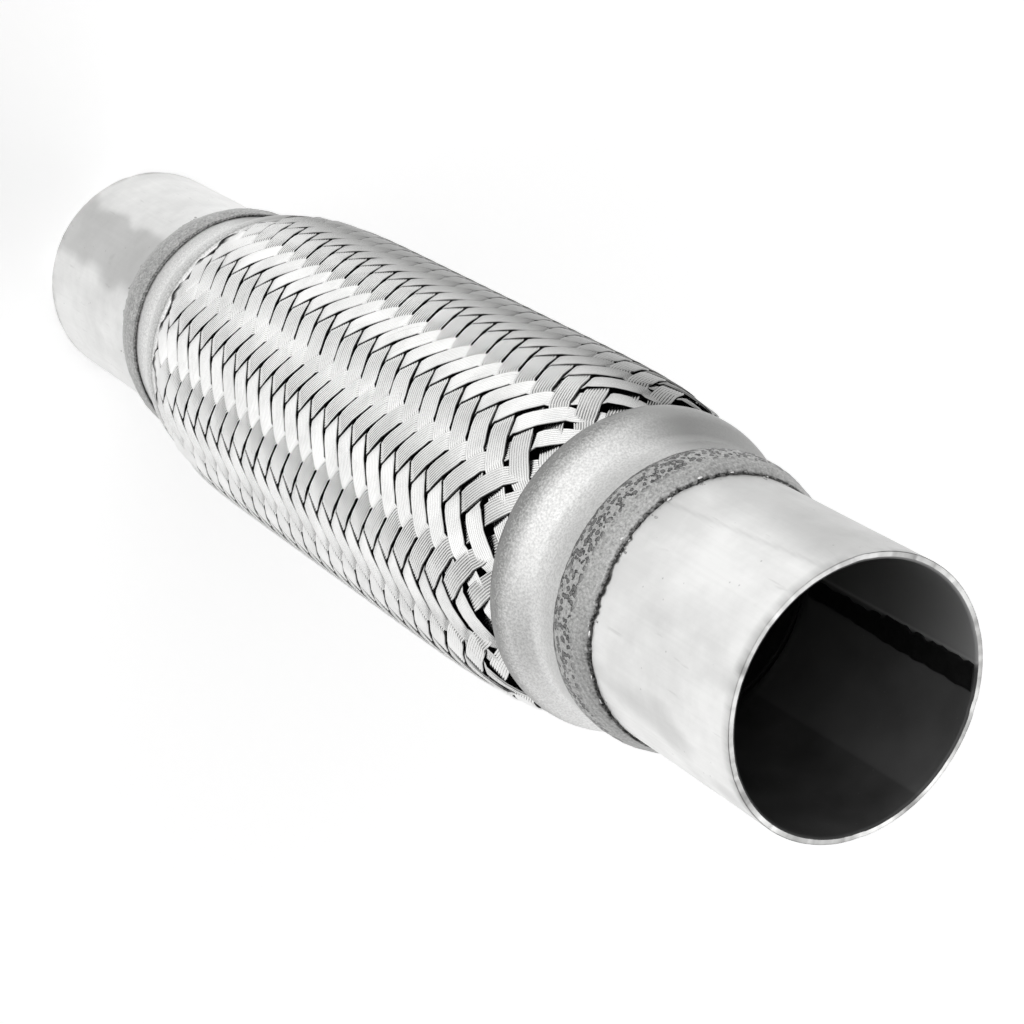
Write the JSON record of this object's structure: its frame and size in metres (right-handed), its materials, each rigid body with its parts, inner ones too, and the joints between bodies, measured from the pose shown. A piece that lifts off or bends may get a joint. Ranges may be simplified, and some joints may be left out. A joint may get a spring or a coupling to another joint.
{
  "type": "exhaust flex pipe",
  "caption": "Exhaust flex pipe: braided bellows section with an interlock liner, held in pressed end caps that are welded to a plain tube at each end.",
  "frame": {"origin": "centre of the lower tube's mouth, which the pipe stands on", "axes": "+Z along the pipe's axis, from the lower tube to the upper tube"},
  "size_m": [0.071, 0.071, 0.3065],
  "materials": {
    "tube_steel": "satin aluminised steel tube",
    "cap_steel": "pressed stainless sheet with a fine grain",
    "weld_metal": "dull weld metal with slag islands",
    "braid_wire": "bright drawn stainless wire",
    "bellows_sheet": "thin rolled stainless sheet",
    "liner_strip": "folded stainless strip"
  },
  "bodies": {
    "root": {"upper_tube": "tube_steel", "lower_tube": "tube_steel", "upper_cap": "cap_steel", "lower_cap": "cap_steel", "upper_weld": "weld_metal", "lower_weld": "weld_metal", "outer_braid": "braid_wire", "bellows": "bellows_sheet", "interlock_liner": "liner_strip"}
  },
  "joints": []
}
